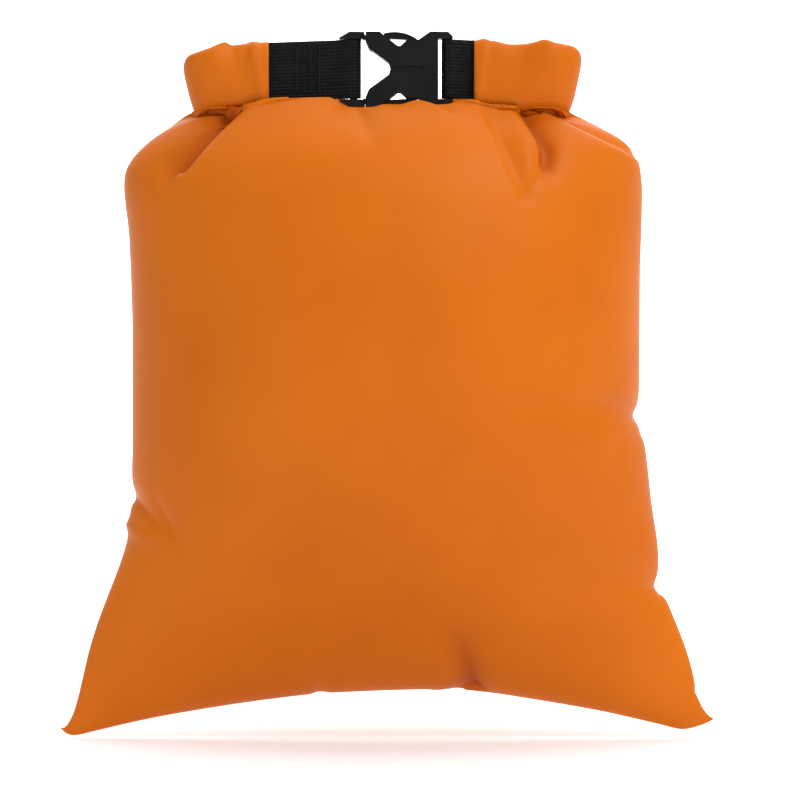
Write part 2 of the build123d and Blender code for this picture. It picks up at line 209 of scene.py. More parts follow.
# %% [markdown]
# ## The pouch
# A filled pouch is cut flat, 290 by 300 mm, and its corners stay flat as ears while the middle fills out.
# So its outline is drawn from heights and reaches, and its depth from a profile up the middle of each side.
# The top of each side turns into the line where it meets the roll: the front goes straight across under the
# buckle, and the back wraps round the outside of the ring. Both are one surface that is lofted row by row.

# %% Sizes of the pouch, in mm
flat_width, flat_height = 290, 300
seam_heights = [(0, 8), (0.86, 240), (0.895, 253.2), (0.93, 262.5), (0.965, 267.4), (1, 269)]
left_reach = [(8, 143), (14, 138.8), (20, 135.3), (50, 125), (86, 112), (92, 110.9), (104, 110.5),
              (128, 109.8), (171, 109.8), (215, 111.2), (240, 113.6), (249, 113.4), (268, 111)]
right_reach = [(8, 142.7), (11, 142), (16, 139), (21, 136), (23, 135.4), (48, 126), (63, 119.5), (67, 117.4),
               (77, 117.6),
               (102, 114.5), (133, 110.6), (139, 108), (150, 109.2), (197, 109.5), (235, 110.5), (248, 110.5),
               (268, 108)]
front_heights = [(0, 20.6), (0.114, 43), (0.209, 65), (0.318, 92), (0.461, 130), (0.667, 187), (0.824, 230),
                 (0.86, 240), (0.895, 251.5), (0.93, 260.5), (0.965, 266.5), (1, 269)]
front_depths = [(0, 0), (0.03, 8), (0.114, 24), (0.209, 38), (0.318, 51), (0.461, 62), (0.667, 67), (0.824, 61),
                (0.86, 58), (0.90, 53), (0.95, 45), (1, 36)]
back_heights = [(0, 20.6), (0.114, 43), (0.209, 65), (0.318, 90), (0.461, 126), (0.667, 178), (0.824, 217),
                (0.90, 234), (0.95, 243), (1, 247)]
back_depths = [(0, 0), (0.03, 8), (0.114, 24), (0.209, 38), (0.318, 51), (0.461, 62), (0.667, 67), (0.824, 62),
               (0.90, 54), (0.95, 46), (1, 36)]
left_turn_in = [(0.86, 0), (0.875, 0.02), (0.895, 0.20), (0.93, 0.52), (0.975, 0.76), (1, 1)]
right_turn_in = [(0.86, 0), (0.895, 0.05), (0.93, 0.42), (0.96, 0.78), (1, 1)]
rim = [(-80, 268), (-74, 269.2), (-66, 268.3), (-56, 268.4), (-50.5, 269.8), (-46, 272.8), (-23, 273.6),
       (-18, 269.6), (-6, 269.3), (-1, 270.5), (5, 270.4), (13, 272.4), (18, 270.2), (25, 270.5), (32, 272.2),
       (38, 271), (48, 269.3), (76, 269.3)]
rim_y = -33.5
seam_left_x, seam_right_x = -62, 56
seam_top_z = 268.9
drop_start, drop_run = 0.8, 0.12
meet_run = 1 / 9
foot_out = 2.6
arch_run = 0.12


def lens(share):
    """Depth of a filled section from its middle, 0, to its sewn edge, 1."""
    return max(0.0, 1 - abs(share) ** 2.4) ** 0.66


def even_shares(reach, depth, count=90):
    """Places across a lens-shaped section at even steps of cloth, so that no row of faces is stretched."""
    samples = [sin(pi / 2 * k / count) for k in range(count + 1)]
    lengths = [0.0]
    for k in range(count):
        lengths.append(lengths[-1] + hypot(reach * (samples[k + 1] - samples[k]),
                                           depth * (lens(samples[k + 1]) - lens(samples[k]))))
    return [(length / lengths[-1], sample) for length, sample in zip(lengths, samples)]


def at_share(table, share):
    """Read a table of (cloth share, place) steps between its lines."""
    position = abs(share)
    low, high = 0, len(table) - 1
    while high - low > 1:
        middle = (low + high) // 2
        if table[middle][0] <= position:
            low = middle
        else:
            high = middle
    span = table[high][0] - table[low][0]
    value = table[low][1] + (table[high][1] - table[low][1]) * (position - table[low][0]) / span
    return value if share >= 0 else -value


left_arch = [(0, 20.4), (27, 19), (50, 16.4), (76, 12.5), (102, 7.8), (128, 1.8), (135, 0.2), (138.5, 0.8),
             (141, 3), (143, 8)]
right_arch = [(0, 20.4), (27, 21), (40, 19.9), (66, 15.9), (92, 11.2), (118, 5.2), (128, 2.9), (134, 4.4),
              (140, 7), (142.7, 9)]


def seam_arch(x):
    """Height of the bottom seam, which arches up between the two ears."""
    return through(left_arch if x < 0 else right_arch, abs(x))


def roll_foot(distance, out):
    """A point in mm where a side of the pouch meets the underside of the roll."""
    return ring_point(distance, out * MM, -roll_half_height - 0.4 * MM) / MM


left_meet = (left_mouth_x / MM - seam_left_x) * MM
right_meet = ring_length - (seam_right_x - right_mouth_x / MM) * MM


def pouch_point(side, across, up, tables):
    """A point of the pouch in mm: side -1 is the front, across runs from -1 to 1, up from 0 to 1."""
    heights = front_heights if side < 0 else back_heights
    depths = front_depths if side < 0 else back_depths
    table = tables[side][round(up * 1000)]
    share = at_share(table, across)
    left = across < 0
    edge_z = through(seam_heights, up)
    reach = through(left_reach if left else right_reach, edge_z)
    middle_z = through(heights, up)
    fullness = 1 - abs(across) ** 2.6
    if side > 0 and up > drop_start:
        level = min(1.0, (up - drop_start) / drop_run)
        fullness += level * ((1 - abs(across) ** 1.2) ** 1.5 - fullness)
    x = reach * share
    if up < arch_run:
        low = seam_arch(x)
        rise = 1 - (1 - up / arch_run) ** 2
        z = (edge_z + (middle_z - edge_z) * fullness) * rise + low * (1 - rise)
    else:
        z = edge_z + (middle_z - edge_z) * fullness
    y = side * through(depths, up) * lens(share)
    body = Vector((x, y, z))
    left_weight, right_weight = through(left_turn_in, up), through(right_turn_in, up)
    weight = left_weight + (right_weight - left_weight) * (across + 1) / 2
    if weight == 0:
        return body
    if side < 0:
        rim_x = seam_left_x + (seam_right_x - seam_left_x) * (across + 1) / 2
        top = Vector((rim_x, rim_y, through(rim, rim_x)))
    else:
        top = roll_foot(left_meet + (right_meet - left_meet) * (across + 1) / 2, foot_out)
    # both sides end in one point at each side seam, so the two sheets meet there
    seam_end = Vector((seam_left_x if left else seam_right_x, front_y / MM - 4.2, seam_top_z))
    top = top.lerp(seam_end, max(0.0, 1 - (1 - abs(across)) / meet_run) ** 1.5)
    return body.lerp(top, weight)


# %% [markdown]
# ## Rows of the pouch
# Each side starts as a flat grid from bmesh, and its corners are moved to the lofted surface. The front gets
# a few rows more than the back: they go on under the roll and make the floor that one sees inside the ring.
# The grid also carries a UV map in metres of flat cloth, which the weave follows later.

# %% Loft the two sides
columns, rows, floor_rows = 84, 88, 14


def floor_point(across, onward, rim_point):
    """A point in mm of the cloth that runs from the rim back under the roll and across the ring."""
    distance = left_meet + (right_meet - left_meet) * (across + 1) / 2
    far_side = roll_foot(distance, -foot_out)
    under_z = (roll_middle_z - roll_half_height) / MM - 1.3
    edge = min(1.0, (1 - abs(across)) * 8)
    under_front = Vector((rim_point.x, front_y / MM - 4.6, min(under_z, rim_point.z - 1.2)))
    under_back = Vector((rim_point.x * 0.98, front_y / MM + 4.8, under_z - 0.6))
    under_back = under_front.lerp(under_back, edge)
    if onward < 0.2:
        return rim_point.lerp(under_front, onward / 0.2)
    if onward < 0.45:
        return under_front.lerp(under_back, (onward - 0.2) / 0.25)
    share = (onward - 0.45) / 0.55
    point = under_back.lerp(far_side, share)
    point.z -= 4 * sin(pi * share) * edge
    return point


def loft_side(side):
    """One side of the pouch as a bmesh."""
    extra = floor_rows if side < 0 else 0
    sheet = bmesh.new()
    bmesh.ops.create_grid(sheet, x_segments=columns, y_segments=rows + extra, size=1.0)
    uv = sheet.loops.layers.uv.new("cloth")
    rim_layer, hold_layer, front_layer = [sheet.verts.layers.float.new(n) for n in ("rim", "hold", "front")]
    tables = {side: {}}
    for step in range(rows + 1):
        up = step / rows
        z = through(seam_heights, up)
        reach = (through(left_reach, z) + through(right_reach, z)) / 2
        depth = through(front_depths if side < 0 else back_depths, up)
        tables[side][round(up * 1000)] = even_shares(reach, depth)
    for corner in sheet.verts:
        across = corner.co.x
        step = round((corner.co.y + 1) / 2 * (rows + extra))
        if step <= rows:
            point = pouch_point(side, across, step / rows, tables)
        else:
            point = floor_point(across, (step - rows) / extra, pouch_point(side, across, 1.0, tables))
        onward = max(0.0, (step - rows) / extra) if extra else 0.0
        corner[rim_layer] = min(1.0, max(0.0, (step / rows - 0.93) / 0.07))
        corner[hold_layer] = max(0.0, 1 - onward / 0.42)
        corner[front_layer] = 1.0 if side < 0 else max(0.0, 1 - (1 - abs(across)) * flat_width / 2 / 9)
        for loop in corner.link_loops:
            loop[uv].uv = (across * flat_width / 2 * MM, step / (rows + extra) * flat_height * MM)
        corner.co = point * MM
    for face in sheet.faces:
        face.material_index = 0 if side < 0 else 1
        face.smooth = True
    if side > 0:
        bmesh.ops.reverse_faces(sheet, faces=sheet.faces)
    return sheet


def made(name, mesh_maker):
    """Turn a bmesh into an object at the origin and say what it is."""
    mesh = bpy.data.meshes.new(name)
    mesh_maker.to_mesh(mesh)
    mesh_maker.free()
    piece = bpy.data.objects.new(name, mesh)
    bpy.context.scene.collection.objects.link(piece)
    print(name, len(mesh.vertices), "points", len(mesh.polygons), "faces")
    return piece


pouch = bmesh.new()
for side in (-1, 1):
    half = loft_side(side)
    holder = bpy.data.meshes.new("half")
    half.to_mesh(holder)
    half.free()
    pouch.from_mesh(holder)
    bpy.data.meshes.remove(holder)
bmesh.ops.remove_doubles(pouch, verts=pouch.verts, dist=0.05 * MM)
pouch.normal_update()
print("the pouch has", len(pouch.faces), "faces and", sum(e.is_boundary for e in pouch.edges), "open edges")

# %% [markdown]
# ## Finer cloth
# Folds need small faces. One round of subdivision makes the faces about 1.7 mm wide, and it is applied now,
# because the folds are pressed into the finer mesh.

# %% Subdivide the pouch
pouch_object = made("pouch", pouch)


def settled(piece, levels):
    """A bmesh of the piece with a subdivision surface applied."""
    finer = piece.modifiers.new("finer", "SUBSURF")
    finer.levels = finer.render_levels = levels
    finer.boundary_smooth = "PRESERVE_CORNERS"
    finer.uv_smooth = "PRESERVE_CORNERS"
    mesh = bpy.data.meshes.new_from_object(piece.evaluated_get(bpy.context.evaluated_depsgraph_get()))
    result = bmesh.new()
    result.from_mesh(mesh)
    bpy.data.meshes.remove(mesh)
    return result


cloth = settled(pouch_object, 1)
bpy.data.objects.remove(pouch_object)
print("finer pouch", len(cloth.faces), "faces, kept layers", cloth.verts.layers.float.keys())

# %% [markdown]
# ## Folds
# Filled cloth is tight in the middle and slack beside its seams and under the roll. The slack lies in folds:
# each one is pressed in along a line of a few points seen from the front. One flank is steep, where the cloth
# doubles over, and the other runs out softly. A negative depth raises a ridge. A deep fold also writes how far
# each point is pressed in to an attribute called fold, which the cloth's finish reads later to paint shade
# into the fold as a darker, redder orange.


# %% A tool that presses a fold
def along_line(line, x, z):
    """How far along a line of (x, z) points the nearest place is, and the signed distance from it."""
    best = (1e9, 0.0, 0.0)
    total = sum(hypot(b[0] - a[0], b[1] - a[1]) for a, b in zip(line, line[1:]))
    walked = 0.0
    for a, b in zip(line, line[1:]):
        run_x, run_z = b[0] - a[0], b[1] - a[1]
        length = hypot(run_x, run_z)
        share = ((x - a[0]) * run_x + (z - a[1]) * run_z) / length ** 2
        clamped = min(1.0, max(0.0, share))
        gap = hypot(x - a[0] - clamped * run_x, z - a[1] - clamped * run_z)
        if gap < best[0]:
            hand = run_x * (z - a[1]) - run_z * (x - a[0])
            best = (gap, (walked + clamped * length) / total, gap if hand > 0 else -gap)
        walked += length
    return best[1], best[2]


# folds deeper than this store their pressed depth in the fold attribute, which the finish uses for painted shade
shaded_fold_depth = 4


def press_fold(sheet, line, depth, left_width, right_width, ends=(1.0, 0.0), front=True):
    """Press a fold into the front or back: depth in mm, and the width of the flank on each hand of the line."""
    fold_shade_layer = sheet.verts.layers.float.get("fold") or sheet.verts.layers.float.new("fold")
    rim_layer, hold_layer, front_layer = [sheet.verts.layers.float.get(n) for n in ("rim", "hold", "front")]
    reach = 3 * max(left_width, right_width)
    low_x, high_x = min(p[0] for p in line) - reach, max(p[0] for p in line) + reach
    low_z, high_z = min(p[1] for p in line) - reach, max(p[1] for p in line) + reach
    moves = []
    for corner in sheet.verts:
        x, y, z = corner.co / MM
        if not (low_x < x < high_x and low_z < z < high_z):
            continue
        if front_layer is None:
            weight = 1.0 if corner.co.y < 0 else 0.0
            direction = corner.normal
        else:
            weight = corner[front_layer] if front else 1 - corner[front_layer]
            weight *= corner[hold_layer]
            direction = corner.normal.lerp(Vector((0, -1, 0)), corner[rim_layer] if front else 0.0)
        if weight <= 0:
            continue
        share, gap = along_line(line, x, z)
        width = left_width if gap > 0 else right_width
        strength = ends[0] + (ends[1] - ends[0]) * share
        if 0 < share < 1:
            strength += (1 - max(ends)) * sin(pi * share)
        amount = weight * depth * strength * exp(-(abs(gap) / width) ** 1.5)
        if abs(amount) > 0.01:
            moves.append((corner, direction * (-amount * MM)))
        # the fold attribute is the mask for the painted shade that the cloth's finish puts in deep folds
        if depth > shaded_fold_depth:
            corner[fold_shade_layer] = max(corner[fold_shade_layer], amount / depth)
    for corner, move in moves:
        corner.co += move
    sheet.normal_update()


# %% [markdown]
# ## Folds at the shoulders and under the buckle
# At the left shoulder one deep pocket runs down from the roll. At the right there is a V of two folds that
# meet in a point, and a long pocket below the flap that turns towards the roll. Below the buckle the cloth
# only dips a little.

# %% Press the shoulder folds
cloth.normal_update()
press_fold(cloth, [(-63, 270), (-71, 262), (-79, 253), (-86.5, 243.5)], 9.5, 1.6, 8, (1.0, 0.7))
press_fold(cloth, [(-92, 246), (-91, 238), (-88, 229)], 1.3, 2.5, 4, (1.0, 0.0))
press_fold(cloth, [(57, 271), (62, 262), (66.5, 253), (66.5, 246)], 8.0, 5.5, 1.8, (1.0, 0.6))
press_fold(cloth, [(42, 270), (47, 257), (53, 243), (58, 231)], 3.0, 4, 2.2, (0.9, 0.5))
press_fold(cloth, [(68, 249), (65, 240), (58, 230.5)], 2.4, 2.2, 3, (1.0, 0.3))
press_fold(cloth, [(55, 262), (60, 247), (58.5, 236)], -1.6, 4, 4, (0.4, 0.6))
press_fold(cloth, [(70, 268.5), (84, 262), (97, 256), (108, 251)], 3.6, 4.5, 1.2, (0.7, 0.5))
press_fold(cloth, [(-13, 271), (-8, 260), (-3, 248)], 3.5, 5, 4, (1.0, 0.0))
press_fold(cloth, [(47, 271), (50, 262), (52, 255)], 2.5, 5, 4, (1.0, 0.0))
print("shoulder folds pressed")

# %% [markdown]
# ## Folds beside the seams
# A side seam is sewn along cloth that wants to be longer, so it draws short slanting puckers. The bottom has
# one dimple where the load doesn't reach.

# %% Press the folds beside the seams
press_fold(cloth, [(-111, 104), (-103, 97), (-94.5, 89.5)], 2.8, 4.5, 1.8, (1.0, 0.3))
press_fold(cloth, [(-111, 92), (-104, 88), (-96, 85.5)], -1.8, 3, 3, (1.0, 0.2))
press_fold(cloth, [(-98, 103), (-93, 94), (-89, 88)], 1.4, 3, 2, (0.5, 0.2))
press_fold(cloth, [(109, 139), (96, 143), (79, 146)], 2.0, 3.5, 2.5, (1.0, 0.0))
press_fold(cloth, [(110, 132), (100, 128), (94, 118)], 1.2, 4, 3, (1.0, 0.0))
press_fold(cloth, [(118, 66), (110, 64), (101, 68)], 2.0, 3, 2.5, (1.0, 0.0))
press_fold(cloth, [(119, 65), (114, 59), (110, 52)], 1.6, 2.5, 3, (1.0, 0.0))
press_fold(cloth, [(136, 21), (128, 17), (118, 18)], 1.2, 3, 2.5, (1.0, 0.0))
press_fold(cloth, [(30, 46), (35, 33), (38, 20)], 4.5, 4.5, 7, (0.2, 1.0))
press_fold(cloth, [(21, 42), (23, 24)], -1.5, 4, 4, (0.2, 0.8))
press_fold(cloth, [(-30, 26), (-29, 19)], 1.6, 2.5, 3, (0.0, 1.0))
for height, slant in ((60, 9), (112, -7), (150, 8), (188, -6), (222, 7)):
    for hand in (-1, 1):
        start = hand * (106 + 10 * max(0, (90 - height) / 60))
        press_fold(cloth, [(start, height), (start - hand * 14, height + slant)], 1.6, 3, 3, (1.0, 0.0), False)
print("seam folds pressed")

# %% [markdown]
# ## Two sheets
# The pouch was one mesh so that its sides meet exactly. Now it is parted along its seams into the two sheets
# that a sewer would have, and each gets the thickness of coated cloth on its inner side.


# %% Part the pouch into its two sheets
def sheet_from(source, index, name):
    """One side of the pouch as its own piece, thickened inwards."""
    part = source.copy()
    bmesh.ops.delete(part, geom=[f for f in part.faces if f.material_index != index], context="FACES")
    for face in part.faces:
        face.material_index = 0
        face.smooth = True
    piece = made(name, part)
    wall = piece.modifiers.new("wall", "SOLIDIFY")
    wall.thickness = 0.6 * MM
    wall.offset = -1
    return piece


front_cloth = sheet_from(cloth, 0, "front_cloth")
back_cloth = sheet_from(cloth, 1, "back_cloth")
cloth.free()

# %% [markdown]
# ## The rolled mouth
# The mouth of the bag is one long strip of double cloth, wound on itself and flattened. In section it is a
# spiral, so that is what is made: a grid whose short way winds round and whose long way follows the ring.
# Its outer turn starts at the foot of the back sheet, and its ends are open, with the webbing inside.

# %% Wind the roll
turns = 2.4
steps_round, steps_along = 96, 216
turn_thickness = 1.15 * MM
turn_height = 0.35 * MM


def ripple(distance, up, size, seed):
    """Gentle unevenness of hand-rolled cloth, from smooth noise."""
    return noise.noise(Vector((distance / (size * MM), up / (size * MM) * 0.7, seed)))


left_top = [(-88, 292.5), (-85, 294), (-80, 293.8), (-76, 293.8), (-72, 296), (-68, 298.4), (-65, 296.5),
            (-57, 296.6), (-50, 297.3)]
right_top = [(37, 297.9), (45, 297.8), (52, 296.5), (57, 297), (61, 296.2), (67, 297.7), (73, 295.8), (79, 297),
             (82.5, 295.8), (84, 293.5)]


def roll_point(along, around):
    """A point of the rolled cloth: along runs over the ring, around over the turns of the spiral."""
    distance = along * ring_length
    angle = -pi / 2 + around * turns * 2 * pi
    wound = around * turns
    half_thick = roll_half_thickness - turn_thickness * wound
    half_tall = roll_half_height - turn_height * wound
    c, s = cos(angle), sin(angle)
    x, y, out_x, out_y = ring_path(distance)
    if s > 0:
        at_front = min(1.0, max(0.0, -y / (12 * MM)))
        outer_x = (x + out_x * roll_half_thickness) / MM
        top_z = through(left_top if outer_x < 0 else right_top, outer_x) * MM
        half_tall += at_front * (top_z - roll_middle_z - roll_half_height)
        half_tall -= (1 - at_front) * 4 * MM * exp(-((x / MM - 5) / 16) ** 2)
    out = half_thick * (abs(c) ** 0.72) * (1 if c > 0 else -1)
    up = half_tall * (abs(s) ** 0.66) * (1 if s > 0 else -1)
    top = max(0.0, up / roll_half_height)
    loose = max(0.0, 1 - wound)
    inside = min(1.0, along * ring_length / (20 * MM), (1 - along) * ring_length / (20 * MM))
    up += top * 1.2 * MM * ripple(distance, 0, 9, 3.3) * (0.35 + 0.65 * inside)
    out += loose * (0.4 + top) * 1.5 * MM * ripple(distance, up, 11, 8.1) * inside
    return ring_point(distance, out, up)


roll = bmesh.new()
bmesh.ops.create_grid(roll, x_segments=steps_along, y_segments=steps_round, size=1.0)
roll_uv = roll.loops.layers.uv.new("cloth")
for corner in roll.verts:
    along, around = (corner.co.x + 1) / 2, (corner.co.y + 1) / 2
    for loop in corner.link_loops:
        loop[roll_uv].uv = (along * 0.29, around * 0.16)
    corner.co = roll_point(along, around)
for face in roll.faces:
    face.smooth = True
roll.normal_update()
press_fold(roll, [(-56, 295.5), (-54, 284), (-51.5, 271)], 1.5, 1.2, 2.5, (1.0, 0.8))
press_fold(roll, [(-58.5, 288.5), (-56, 295)], 1.2, 0.9, 1.8, (0.3, 1.0))
press_fold(roll, [(-68, 298), (-64, 290), (-62, 282)], -1.1, 3, 2.5, (1.0, 0.0))
press_fold(roll, [(-77, 295), (-71, 288), (-66, 276)], 1.2, 4, 3, (0.8, 0.3))
press_fold(roll, [(41.8, 297), (38.6, 271)], 1.3, 1.0, 1.7, (1.0, 0.9))
press_fold(roll, [(80, 292), (67, 281), (56, 270)], 1.8, 4, 6, (0.5, 1.0))
press_fold(roll, [(61.5, 297), (60, 288)], 0.9, 2, 2, (1.0, 0.0))
press_fold(roll, [(73, 296.5), (74, 289)], 0.9, 2, 2.5, (1.0, 0.0))
rolled_mouth = made("rolled_mouth", roll)
wall = rolled_mouth.modifiers.new("wall", "SOLIDIFY")
wall.thickness = 0.5 * MM
wall.offset = -1

# %% [markdown]
# ## The strip inside the roll
# The hem of the mouth holds a thin stiff strip, and the roll is wound on it. It sits in the middle of the
# back run and only shows if one looks into the roll, so it is a plain band that follows the same path.

# %% Lay in the strip
strip = bmesh.new()
bmesh.ops.create_grid(strip, x_segments=90, y_segments=4, size=1.0)
strip_start, strip_end = front_left_run + corner_run, front_left_run + corner_run + back_run
strip_half, strip_drop = 8.5, 1.5
for corner in strip.verts:
    distance = strip_start + (strip_end - strip_start) * (corner.co.x + 1) / 2
    corner.co = ring_point(distance, 0.0, (corner.co.y * strip_half - strip_drop) * MM)
for face in strip.faces:
    face.smooth = True
hem_strip = made("hem_strip", strip)
wall = hem_strip.modifiers.new("wall", "SOLIDIFY")
wall.thickness = 0.8 * MM
wall.offset = 0

# %% [markdown]
# ## Webbing
# Each strap is one length of flat webbing. It comes out of a roll end, turns round the buckle's bar and runs
# back to be sewn to itself. A grid follows that line, with its edges bumpy where the weft turns back, and a
# little thickness is added at the end.

# %% Weave the straps
webbing_half = 12.35 * MM
webbing_thickness = 1.4 * MM
layer_y = 0.8 * MM


def strap_line(bar_x, hand, start_x, end_x, loop_radius):
    """Points (x, y) of the strap's middle: in along the front, round the bar, and back behind."""
    line = []
    meet_x = bar_x + hand * 9 * MM
    for k in range(24):
        line.append((start_x + (meet_x - start_x) * k / 23, front_y - layer_y))
    for k in range(1, 8):
        u = k / 8
        widening = (loop_radius - layer_y) * u * u * (3 - 2 * u)
        line.append((meet_x + (bar_x - meet_x) * u, front_y - layer_y - widening))
    for k in range(13):
        angle = -pi / 2 + hand * -1 * pi * k / 12
        line.append((bar_x + loop_radius * cos(angle) * 1.0, front_y + loop_radius * sin(angle)))
    for k in range(1, 8):
        u = 1 - k / 8
        widening = (loop_radius - layer_y) * u * u * (3 - 2 * u)
        line.append((meet_x + (bar_x - meet_x) * u, front_y + layer_y + widening))
    for k in range(24):
        line.append((meet_x + (end_x - meet_x) * k / 23, front_y + layer_y))
    return line


def weave_strap(name, line, slope, pivot_x, mouth_x):
    """A strap of webbing along a line of points, with the small bumps of a woven edge."""
    lengths = [0.0]
    for a, b in zip(line, line[1:]):
        lengths.append(lengths[-1] + hypot(b[0] - a[0], b[1] - a[1]))
    total = lengths[-1]
    along_steps = int(total / (0.55 * MM))
    web = bmesh.new()
    bmesh.ops.create_grid(web, x_segments=along_steps, y_segments=24, size=1.0)
    web_uv = web.loops.layers.uv.new("cloth")
    stations_x = [(length, point[0]) for length, point in zip(lengths, line)]
    stations_y = [(length, point[1]) for length, point in zip(lengths, line)]
    for corner in web.verts:
        distance = (corner.co.x + 1) / 2 * total
        across = corner.co.y
        x, y = through(stations_x, distance), through(stations_y, distance)
        edge = webbing_half + 0.22 * MM * sin(distance / (1.35 * MM) * 2 * pi) * (abs(across) > 0.95)
        for loop in corner.link_loops:
            loop[web_uv].uv = (distance, across * webbing_half)
        inside = min(1.0, max(0.0, (abs(x - pivot_x) - abs(mouth_x - pivot_x)) / (6 * MM)))
        middle = closure_z + 0.3 * MM + slope * (x - pivot_x)
        middle += inside * (roll_middle_z - middle)
        corner.co = (x, y, middle + across * edge * (1 - 0.13 * inside))
    for face in web.faces:
        face.smooth = True
    strap = made(name, web)
    wall = strap.modifiers.new("wall", "SOLIDIFY")
    wall.thickness = webbing_thickness
    wall.offset = 0
    return strap


left_bar_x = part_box("left_strap")[1].x - 3.25 * MM
right_bar_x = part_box("right_strap")[0].x + 3.25 * MM
left_line = strap_line(left_bar_x, -1, left_mouth_x - 20 * MM, left_mouth_x + 3 * MM, 2.5 * MM)
right_line = strap_line(right_bar_x, 1, right_mouth_x + 20 * MM, right_mouth_x + 17 * MM, 2.5 * MM)
left_webbing = weave_strap("left_webbing", left_line, 0.035, left_bar_x, left_mouth_x)
right_webbing = weave_strap("right_webbing", right_line, -0.025, right_bar_x, right_mouth_x)
print("bars at", round(left_bar_x / MM, 2), round(right_bar_x / MM, 2))

# %% [markdown]
# ## Coated cloth
# The cloth is tightly woven polyester with a coating: even orange, a soft sheen, a very fine weave and a
# faint unevenness. The weave follows the cloth's own UV map, and the unevenness is noise on the object.
# In a deep fold the fold attribute mixes in a darker, deep red: this is painted shade, standing in for the light
# that bounces from orange to orange in the fold.


# %% Make the cloth's finish
def new_material(name):
    """An empty node material, its nodes, links and shader."""
    material = bpy.data.materials.new(name)
    material.use_nodes = True
    nodes, links = material.node_tree.nodes, material.node_tree.links
    return material, nodes, links, nodes["Principled BSDF"]


def noise_node(nodes, links, scale, detail, source):
    """Smooth noise on the coordinates from a socket."""
    node = nodes.new("ShaderNodeTexNoise")
    node.inputs["Scale"].default_value = scale
    node.inputs["Detail"].default_value = detail
    links.new(source, node.inputs["Vector"])
    return node


def wave_node(nodes, links, scale, direction, source):
    """Straight bands along one direction."""
    node = nodes.new("ShaderNodeTexWave")
    node.bands_direction = direction
    node.inputs["Scale"].default_value = scale
    links.new(source, node.inputs["Vector"])
    return node


def ramp_node(nodes, links, source, stops):
    """A colour ramp with the given (position, colour) stops."""
    node = nodes.new("ShaderNodeValToRGB")
    links.new(source, node.inputs["Fac"])
    node.color_ramp.elements[0].position, node.color_ramp.elements[0].color = stops[0]
    node.color_ramp.elements[1].position, node.color_ramp.elements[1].color = stops[1]
    return node


def bump_node(nodes, links, height, strength, distance, before=None):
    """A bump from a height socket, on top of an earlier bump."""
    node = nodes.new("ShaderNodeBump")
    node.inputs["Strength"].default_value = strength
    node.inputs["Distance"].default_value = distance
    links.new(height, node.inputs["Height"])
    if before is not None:
        links.new(before.outputs["Normal"], node.inputs["Normal"])
    return node


cloth_finish, nodes, links, shader = new_material("coated_cloth")
place = nodes.new("ShaderNodeTexCoord")
broad = noise_node(nodes, links, 14, 3, place.outputs["Object"])
tone = ramp_node(nodes, links, broad.outputs["Fac"],
                 ((0.30, (0.54, 0.116, 0.002, 1)), (0.72, (0.60, 0.140, 0.003, 1))))
# painted shade: where folds are pressed deep, a darker, redder orange is mixed into the base colour
pressed = nodes.new("ShaderNodeAttribute")
pressed.attribute_name = "fold"
fold_shade_share = nodes.new("ShaderNodeMath")
fold_shade_share.operation = "MULTIPLY"
fold_shade_share.inputs[1].default_value = 0.75
links.new(pressed.outputs["Fac"], fold_shade_share.inputs[0])
painted_fold_shade = nodes.new("ShaderNodeMix")
painted_fold_shade.data_type = "RGBA"
painted_fold_shade.inputs["B"].default_value = (0.30, 0.030, 0.001, 1)
links.new(fold_shade_share.outputs["Value"], painted_fold_shade.inputs["Factor"])
links.new(tone.outputs["Color"], painted_fold_shade.inputs["A"])
links.new(painted_fold_shade.outputs["Result"], shader.inputs["Base Color"])
rough_noise = noise_node(nodes, links, 60, 4, place.outputs["Object"])
rough_range = nodes.new("ShaderNodeMapRange")
rough_range.inputs["To Min"].default_value = 0.40
rough_range.inputs["To Max"].default_value = 0.50
links.new(rough_noise.outputs["Fac"], rough_range.inputs["Value"])
links.new(rough_range.outputs["Result"], shader.inputs["Roughness"])
warp = wave_node(nodes, links, 900, "X", place.outputs["UV"])
weft = wave_node(nodes, links, 900, "Y", place.outputs["UV"])
weave_mix = nodes.new("ShaderNodeMath")
weave_mix.operation = "MULTIPLY"
links.new(warp.outputs["Fac"], weave_mix.inputs[0])
links.new(weft.outputs["Fac"], weave_mix.inputs[1])
weave_bump = bump_node(nodes, links, weave_mix.outputs["Value"], 0.12, 0.00005)
slack = noise_node(nodes, links, 38, 2, place.outputs["Object"])
slack_bump = bump_node(nodes, links, slack.outputs["Fac"], 0.10, 0.002, weave_bump)
links.new(slack_bump.outputs["Normal"], shader.inputs["Normal"])
shader.inputs["Specular IOR Level"].default_value = 0.12
for piece in (front_cloth, back_cloth, rolled_mouth):
    piece.data.materials.append(cloth_finish)

# %% [markdown]
# ## Webbing and thread
# Polypropylene webbing is near black with ribs along it and small picks across, and it only shines a little.

# %% Make the webbing's finish
webbing_finish, nodes, links, shader = new_material("black_webbing")
place = nodes.new("ShaderNodeTexCoord")
ribs = wave_node(nodes, links, 220, "Y", place.outputs["UV"])
picks = wave_node(nodes, links, 260, "X", place.outputs["UV"])
picks.inputs["Distortion"].default_value = 0.6
height = nodes.new("ShaderNodeMath")
height.operation = "MULTIPLY_ADD"
links.new(picks.outputs["Fac"], height.inputs[0])
height.inputs[1].default_value = 0.45
links.new(ribs.outputs["Fac"], height.inputs[2])
rib_bump = bump_node(nodes, links, height.outputs["Value"], 0.9, 0.0004)
links.new(rib_bump.outputs["Normal"], shader.inputs["Normal"])
dye = noise_node(nodes, links, 400, 2, place.outputs["Object"])
dye_tone = ramp_node(nodes, links, dye.outputs["Fac"],
                     ((0.3, (0.003, 0.003, 0.0035, 1)), (0.8, (0.008, 0.008, 0.009, 1))))
links.new(dye_tone.outputs["Color"], shader.inputs["Base Color"])
shader.inputs["Roughness"].default_value = 0.62
shader.inputs["Specular IOR Level"].default_value = 0.12
left_webbing.data.materials.append(webbing_finish)
right_webbing.data.materials.append(webbing_finish)

